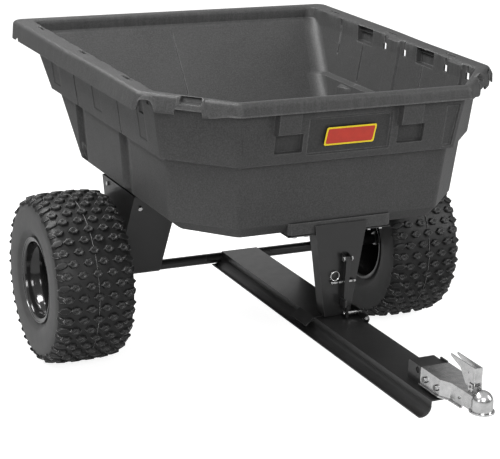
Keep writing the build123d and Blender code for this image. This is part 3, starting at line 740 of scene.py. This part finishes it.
def tub_mesh(material, painted_shade_material):
    """The tub as one closed skin with openings right through at the slots."""
    rows = tub_rows()
    count = len(rows[0][1])
    verts = []
    for z, row, skin in rows:
        verts += shaped(row, z, skin)
    gone, faces = through_slots(rows, count)
    # faces that take the second, darker poly material as painted shade
    dark = set()
    for r in range(len(rows) - 1):
        z, row, skin = rows[r]
        mid_z = (z + rows[r + 1][0]) / 2
        for k in range(count):
            if (r, k) not in gone:
                n = (k + 1) % count
                if has_painted_shade(skin, mid_z, row[k][2], (row[k][3] + row[n][3]) / 2):
                    dark.add(len(faces))
                faces.append((r * count + k, r * count + n, (r + 1) * count + n, (r + 1) * count + k))
    faces.append(tuple(range(count)))
    faces.append(tuple(range((len(rows) - 1) * count, len(rows) * count))[::-1])
    obj = mesh_object("tub_shell", verts, faces)
    face_out(obj)
    smooth_by_angle(obj, 34)
    paint(obj, material)
    obj.data.materials.append(painted_shade_material)
    for index in dark:
        obj.data.polygons[index].material_index = 1
    return obj


def face_out(obj):
    """Turn every face outwards."""
    edit = bmesh.new()
    edit.from_mesh(obj.data)
    bmesh.ops.recalc_face_normals(edit, faces=edit.faces)
    edit.to_mesh(obj.data)
    edit.free()


def front_block(material):
    """Moulded block under the tub's front that the post bolts up to."""
    half, low, high = 172.0, 577.0, 616.0
    front = AXLE_Y - 706
    verts, faces = [], []
    rings = ((low, 3, 80), (low + 3, 0, 80), (584, 0, 80), (586, 0, 34), (high, 0, 9))
    for z, inset, back in rings:
        for x, y in ((-half, front + back), (-half, front + 8), (-half + 8, front),
                     (half - 8, front), (half, front + 8), (half, front + back)):
            verts.append(((x - (inset if x > 0 else -inset)) * MM, (y + inset) * MM, z * MM))
    for r in range(len(rings) - 1):
        for k in range(6):
            n = (k + 1) % 6
            faces.append((r * 6 + k, r * 6 + n, (r + 1) * 6 + n, (r + 1) * 6 + k))
    faces.append(tuple(range(6)))
    faces.append(tuple(reversed(range(len(verts) - 6, len(verts)))))
    obj = mesh_object("tub_front_block", verts, faces)
    face_out(obj)
    bevel(obj, 0.003, 3)
    smooth_by_angle(obj, 40)
    paint(obj, material)
    return obj


# ---- wheels ---------------------------------------------------------------------------------
WHEEL_X = 600.0
TYRE_R = 279.4
HALF_W = 131.0
TREAD_FROM = 246      # radius where the sidewall ends
LUG_ROWS = 46
LUG_OUTLINE = [(1, 0), (0.45, 0.88), (-0.45, 0.88), (-1, 0), (-0.45, -0.88), (0.45, -0.88)]
FLASH = [(0.8, 269.0), (0.25, 273.0), (-0.25, 273.0), (-0.8, 269.0)]
# Half of the tyre's skin without lugs, from bead to crown, as (x from the wheel's centre, radius)
CARCASS = [(109, 128), (113, 133), (114.5, 141), (117, 149), (121.5, 154), (125, 160), (127.5, 164),
           (129.5, 176), (130.6, 190), (130.8, 204), (130.8, 217), (130.4, 229), (129, 238), (126, 246),
           (120.5, 253.5), (113, 259.5), (103, 263.5), (89, 266), (70, 268), (50, 269), (25, 270),
           (0, 270.2)]
CROWN = [(x, r) for x, r in reversed(CARCASS) if r >= 238]
# The wheel's barrel as thin sheet: half of the face the tyre sits on, and half of the other face
SEAT_FACE = [(0, 112), (54, 112), (66, 112.4), (78, 117), (86, 122), (92, 125.5), (104, 126.6),
             (111, 127.2), (114.6, 130), (115.8, 135), (117, 139.5), (119.4, 141.4), (121, 140),
             (121, 137.4)]
HUB_FACE = [(119.2, 136.6), (118.6, 131), (116, 126), (111, 124.4), (104, 124), (92, 122.8),
            (86, 119.6), (78, 114.6), (66, 110), (54, 109.6), (0, 109.6)]


def mirrored(half):
    """The points reversed on the wheel's other side, without the one on the centre plane."""
    return [(-x, r) for x, r in reversed(half) if x]


def sidewall_ring(x, r):
    """Extra height of the moulded rings on the sidewall."""
    for at, tall in ((158, 1.2), (172, 0.8), (207, 0.9), (214, 0.7)):
        x += (tall if x > 0 else -tall) * max(0.0, 1 - abs(r - at) / 2.2)
    return x


def on_crown(offset):
    """Carcass radius and slope under the tread at a distance from the centre plane, in mm."""
    a = abs(offset)
    for (x0, r0), (x1, r1) in zip(CROWN[:-1], CROWN[1:]):
        if a <= x1:
            t = (a - x0) / (x1 - x0)
            return r0 + (r1 - r0) * t, atan2(r0 - r1, x1 - x0)
    raise ValueError("no tread that far out")


def lug(verts, faces, side, angle, offset, long, wide, tall, hollow, lean=0.0):
    """One hexagonal tread block seated on the carcass, with a sunken middle if hollow."""
    r0, slope = on_crown(offset)
    sign = 1 if offset >= 0 else -1
    out = Vector((sin(slope) * sign, cos(slope)))
    across = Vector((cos(slope), -sin(slope) * sign))
    start = len(verts)
    rings = [(1.16, -2.0), (1.10, tall * 0.25), (0.94, tall * 0.88), (0.86, tall)]
    rings += [(0.50, tall), (0.42, tall - 2.6), (0.2, tall - 3.2)] if hollow else [(0.4, tall + 0.2)]
    for scale, up in rings:
        for px, py in LUG_OUTLINE:
            a_mm = px * wide / 2 * scale
            c_mm = py * long / 2 * scale + lean * px * scale
            here = Vector((offset, r0)) + across * a_mm + out * up
            turn = angle + c_mm / r0
            radius = min(here.y, TYRE_R)
            wide_at = max(-HALF_W, min(HALF_W, here.x))
            verts.append((side * (WHEEL_X + wide_at) * MM,
                          axle[1] + radius * MM * sin(turn), axle[2] + radius * MM * cos(turn)))
    for k in range(len(rings) - 1):
        for j in range(6):
            n = (j + 1) % 6
            faces.append((start + k * 6 + j, start + k * 6 + n, start + (k + 1) * 6 + n,
                          start + (k + 1) * 6 + j))
    last = start + (len(rings) - 1) * 6
    faces.append(tuple(range(last, last + 6)))


def spun(name, profile, side, steps):
    """Surface of revolution about the axle of (x from the wheel's centre, radius) points."""
    verts, faces = [], []
    for k in range(steps):
        turn = 2 * pi * k / steps
        for x, r in profile:
            verts.append((side * (WHEEL_X + x) * MM, axle[1] + r * MM * sin(turn),
                          axle[2] + r * MM * cos(turn)))
    count = len(profile)
    for k in range(steps):
        n = (k + 1) % steps
        for j in range(count - 1):
            faces.append((k * count + j, n * count + j, n * count + j + 1, k * count + j + 1))
    return mesh_object(name, verts, faces)


def tyre(side, word, tread_material, wall_material):
    """The tyre's skin, its lugs and the moulding flash round its middle."""
    profile = [(sidewall_ring(x, r), r) for x, r in fine(CARCASS + mirrored(CARCASS), 5)]
    body = spun(f"tyre_skin_{word}", profile, side, 120)
    face_out(body)
    smooth_by_angle(body, 50)
    body.data.materials.append(wall_material)
    body.data.materials.append(tread_material)
    for face in body.data.polygons:
        r = hypot(face.center.y - axle[1], face.center.z - axle[2]) / MM
        face.material_index = 1 if r > TREAD_FROM else 0
    verts, faces = [], []
    pitch = 2 * pi / LUG_ROWS
    for row in range(LUG_ROWS):
        angle = pitch * row
        half = row % 2
        for spot in ((-98, -49, 0, 49, 98) if half else (-73.5, -24.5, 24.5, 73.5)):
            lug(verts, faces, side, angle, spot, 25, 34, 9.2, True)
        for sign in (-1, 1):
            if half:
                lug(verts, faces, side, angle, sign * 118, 22, 34, 4.5, False, lean=3 * sign)
            else:
                lug(verts, faces, side, angle, sign * 109, 22, 42, 6.0, False, lean=-3 * sign)
    blocks = mesh_object(f"tyre_lugs_{word}", verts, faces)
    face_out(blocks)
    smooth_by_angle(blocks, 38)
    bevel(blocks, 0.0011, 1, 30)
    paint(blocks, tread_material)
    flash = spun(f"tyre_flash_{word}", FLASH, side, 120)
    smooth_by_angle(flash, 30)
    paint(flash, tread_material)
    return [body, blocks, flash]


def fine(profile, step):
    """The profile with more points, rounded by a Catmull-Rom spline."""
    out = []
    for i in range(len(profile) - 1):
        p0 = Vector(profile[max(0, i - 1)])
        p1, p2 = Vector(profile[i]), Vector(profile[i + 1])
        p3 = Vector(profile[min(len(profile) - 1, i + 2)])
        steps = max(1, int((p2 - p1).length / step))
        for k in range(steps):
            t = k / steps
            point = 0.5 * ((2 * p1) + (p2 - p0) * t + (2 * p0 - 5 * p1 + 4 * p2 - p3) * t * t
                           + (3 * p1 - p0 - 3 * p2 + p3) * t ** 3)
            out.append((point.x, point.y))
    out.append(tuple(profile[-1]))
    return out


def rim(side, word, material):
    """Rolled-lip barrel with bead seats and a drop centre."""
    outer = mirrored(SEAT_FACE) + SEAT_FACE
    profile = outer + HUB_FACE + mirrored(HUB_FACE) + [outer[0]]
    obj = spun(f"rim_shell_{word}", profile, side, 128)
    edit = bmesh.new()
    edit.from_mesh(obj.data)
    bmesh.ops.remove_doubles(edit, verts=edit.verts, dist=1e-6)
    edit.to_mesh(obj.data)
    edit.free()
    face_out(obj)
    smooth_by_angle(obj, 44)
    paint(obj, material)
    return obj


# ---- label ----------------------------------------------------------------------------------
LABEL_CORNER = 0.2
LABEL_SLANT = 0.035


def label(border_paint, field_paint):
    """Blank label: a red field in a yellow border, slanted ends, no lettering."""
    low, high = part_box("badge")
    x0, x1 = low[0] - 0.001, high[0] + 0.002
    rise = high[2] - low[2]
    lean = high[1] - low[1]

    def place(x, up, lift):
        z = low[2] + rise * (0.5 + up / 2 * 0.93)
        y = high[1] - 0.0016 - (z - low[2]) / rise * (lean - 0.0016) - lift
        return (x, y, z)

    def panel(name, inset, lift, material):
        points = []
        mid, half = (x0 + x1) / 2, (x1 - x0) / 2 - inset
        tall = 1 - inset / (rise / 2)
        across = LABEL_CORNER * 0.35
        for cx, cy, start in ((1, 1, 0), (-1, 1, 1), (-1, -1, 2), (1, -1, 3)):
            for k in range(7):
                angle = (start + k / 6) * pi / 2
                u = cx * (1 - across) + across * cos(angle)
                v = cy * (1 - LABEL_CORNER) + LABEL_CORNER * sin(angle)
                points.append(place(mid + half * (u * 0.95 + LABEL_SLANT * v), v * tall, lift))
        obj = mesh_object(name, points, [tuple(range(len(points)))])
        solid = obj.modifiers.new("thick", "SOLIDIFY")
        solid.thickness = 0.0006
        solid.offset = 0
        paint(obj, material)
        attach(obj, "tub_body")
        return obj

    border = panel("label_border", 0.0, 0.0006, border_paint)
    panel("label_field", 0.0055, 0.0011, field_paint)
    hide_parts("badge")


# ---- camera, light and floor ----------------------------------------------------------------
CAMERA_AT = (-2.2169, -4.1635, 1.9990)
CAMERA_TURN = (-26.029, 17.576, 1.756)      # azimuth, height above level and roll, degrees
# name, place, point it faces, size, all in m, and power in W
LIGHTS = [
    ("key", (-3.4, 0.4, 5.2), (0.3, 0.3, 0.7), (1.8, 1.8), 258),
    ("front", (-1.6, -5.0, 3.2), (0, 0, 0.4), (2.4, 1.6), 136),
    ("left_low", (-5.0, -2.4, 1.6), (-0.2, 0, 0.4), (1.4, 2.0), 26),
    ("inside", (-0.95, 1.5, 2.9), (0.55, 0.4, 0.85), (1.0, 1.0), 52),
    ("back", (1.3, 5.4, 2.0), (0.2, -0.3, 0.4), (3.6, 1.2), 6),
    ("right_side", (3.8, -2.5, 2.4), (0.2, 0, 0.4), (1.2, 2.4), 85),
]


def camera():
    data = bpy.data.cameras.new("camera")
    data.lens = 114.0
    data.shift_x = -0.001
    data.shift_y = 0.001
    data.sensor_width = 36
    data.clip_end = 40
    obj = bpy.data.objects.new("camera", data)
    bpy.context.scene.collection.objects.link(obj)
    azimuth, rise, roll = (radians(angle) for angle in CAMERA_TURN)
    back = Vector((sin(azimuth) * cos(rise), -cos(azimuth) * cos(rise), sin(rise)))
    right = Vector((cos(azimuth), sin(azimuth), 0))
    up = back.cross(right)
    x_axis = right * cos(roll) + up * sin(roll)
    y_axis = up * cos(roll) - right * sin(roll)
    turn = Matrix((x_axis, y_axis, back)).transposed()
    obj.matrix_world = Matrix.Translation(CAMERA_AT) @ turn.to_4x4()
    bpy.context.scene.camera = obj


def area_light(name, place, aim, size, power):
    data = bpy.data.lights.new(name, "AREA")
    data.shape = "RECTANGLE"
    data.size, data.size_y = size
    data.energy = power
    obj = bpy.data.objects.new(name, data)
    obj.location = place
    obj.rotation_euler = (Vector(aim) - Vector(place)).to_track_quat("-Z", "Y").to_euler()
    bpy.context.scene.collection.objects.link(obj)


def glowing_floor():
    """Plain floor that looks white to the camera but lights the cart only a little."""
    floor = mesh_object("studio_floor", [(-14, -14, 0), (14, -14, 0), (14, 14, 0), (-14, 14, 0)],
                        [(0, 1, 2, 3)])
    mat, nodes, links, shader = new_material("floor")
    shader.inputs["Base Color"].default_value = (0.4, 0.4, 0.4, 1)
    shader.inputs["Roughness"].default_value = 0.95
    shader.inputs["Specular IOR Level"].default_value = 0.0
    shader.inputs["Emission Color"].default_value = (1, 1, 1, 1)
    seen = nodes.new("ShaderNodeLightPath")
    glow = nodes.new("ShaderNodeMapRange")
    glow.inputs["To Min"].default_value = 0.10
    glow.inputs["To Max"].default_value = 0.88
    links.new(seen.outputs["Is Camera Ray"], glow.inputs["Value"])
    links.new(glow.outputs["Result"], shader.inputs["Emission Strength"])
    paint(floor, mat)


def dome():
    """Dim dome, lighter overhead, that the camera itself sees as white."""
    world = bpy.data.worlds.new("studio")
    world.use_nodes = True
    nodes, links = world.node_tree.nodes, world.node_tree.links
    sky = nodes["Background"]
    where = nodes.new("ShaderNodeTexCoord")
    split = nodes.new("ShaderNodeSeparateXYZ")
    links.new(where.outputs["Generated"], split.inputs["Vector"])
    tone = ramp(nodes, links, split.outputs["Z"], [(0.0, 0.16), (0.45, 0.5), (0.9, 0.9)])
    links.new(tone, sky.inputs["Color"])
    sky.inputs["Strength"].default_value = 0.75
    white = nodes.new("ShaderNodeBackground")
    white.inputs["Color"].default_value = (1, 1, 1, 1)
    white.inputs["Strength"].default_value = 1.05
    path = nodes.new("ShaderNodeLightPath")
    mix = nodes.new("ShaderNodeMixShader")
    links.new(path.outputs["Is Camera Ray"], mix.inputs["Fac"])
    links.new(sky.outputs["Background"], mix.inputs[1])
    links.new(white.outputs["Background"], mix.inputs[2])
    links.new(mix.outputs["Shader"], nodes["World Output"].inputs["Surface"])
    bpy.context.scene.world = world


def studio():
    """White studio: the camera sees plain white, the cart is lit by soft boxes and a dim dome."""
    glowing_floor()
    dome()
    for light in LIGHTS:
        area_light(*light)
    bpy.context.scene.view_settings.view_transform = "Standard"


# ---- whole scene ----------------------------------------------------------------------------
DULL_PLATED = ("coupler_bolts", "coupler_nuts", "handle_pin", "clamp_pin")


def dress_frame(mats):
    """Material and edge rounding for every CAD node that stays in view."""
    by_slot = {
        "black_paint": (mats["paint"], 0.0012), "rim_paint": (mats["rim"], 0.001),
        "zinc": (mats["zinc"], 0.0008), "bare_steel": (mats["steel"], 0.0005),
        "bush_plastic": (mats["nylon"], 0.0005), "valve_rubber": (mats["valve"], 0.0006),
        "poly_tub": (mats["poly"], 0.002), "tyre_rubber": (mats["rubber"], 0.002),
        "label": (mats["yellow"], 0.0002),
    }
    for row in frame["record"]["subparts"]:
        material, width = by_slot[row["material_slot"]]
        if row["node"] in DULL_PLATED:
            material = mats["dull_zinc"]
        obj = frame["nodes"][row["node"]]
        for i in range(len(obj.data.materials)):
            obj.data.materials[i] = material
        if not obj.data.materials:
            obj.data.materials.append(material)
        bevel(obj, width)


def build():
    mats = {
        # the second poly is a darker copy, used as painted shade
        "poly": poly_material(), "painted_shade": poly_material("poly_painted_shade", 0.74),
        "paint": black_paint(), "rim": black_paint("rim_paint", 0.012, 0.12),
        "zinc": zinc_material(), "dull_zinc": zinc_material("dull_zinc", 0.3), "steel": steel_material(),
        # tread: lighter lug edges, partly wear and partly painted highlight
        "rubber": rubber_material("tread_rubber", 0.009, 0.017, 0.5),
        "sidewall": rubber_material("sidewall_rubber", 0.042, 0.054),
        "nylon": plain_material("nylon", (0.6, 0.59, 0.55), 0.4),
        "valve": plain_material("valve_rubber", (0.02, 0.02, 0.02), 0.55),
        "yellow": plain_material("label_yellow", (0.78, 0.60, 0.01), 0.35),
        "red": plain_material("label_red", (0.46, 0.032, 0.016), 0.35),
    }
    dress_frame(mats)
    shell = tub_mesh(mats["poly"], mats["painted_shade"])
    block = front_block(mats["poly"])
    for piece in (shell, block):
        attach(piece, "tub_body")
    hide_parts("tub")
    for side, word in ((-1, "left"), (1, "right")):
        pieces = tyre(side, word, mats["rubber"], mats["sidewall"])
        for piece in pieces:
            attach(piece, f"wheel_{word}")
        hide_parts(f"tyre_{word}")
        barrel = rim(side, word, mats["rim"])
        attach(barrel, f"wheel_{word}")
        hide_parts(f"rim_{word}")
    label(mats["yellow"], mats["red"])


build()
camera()
studio()
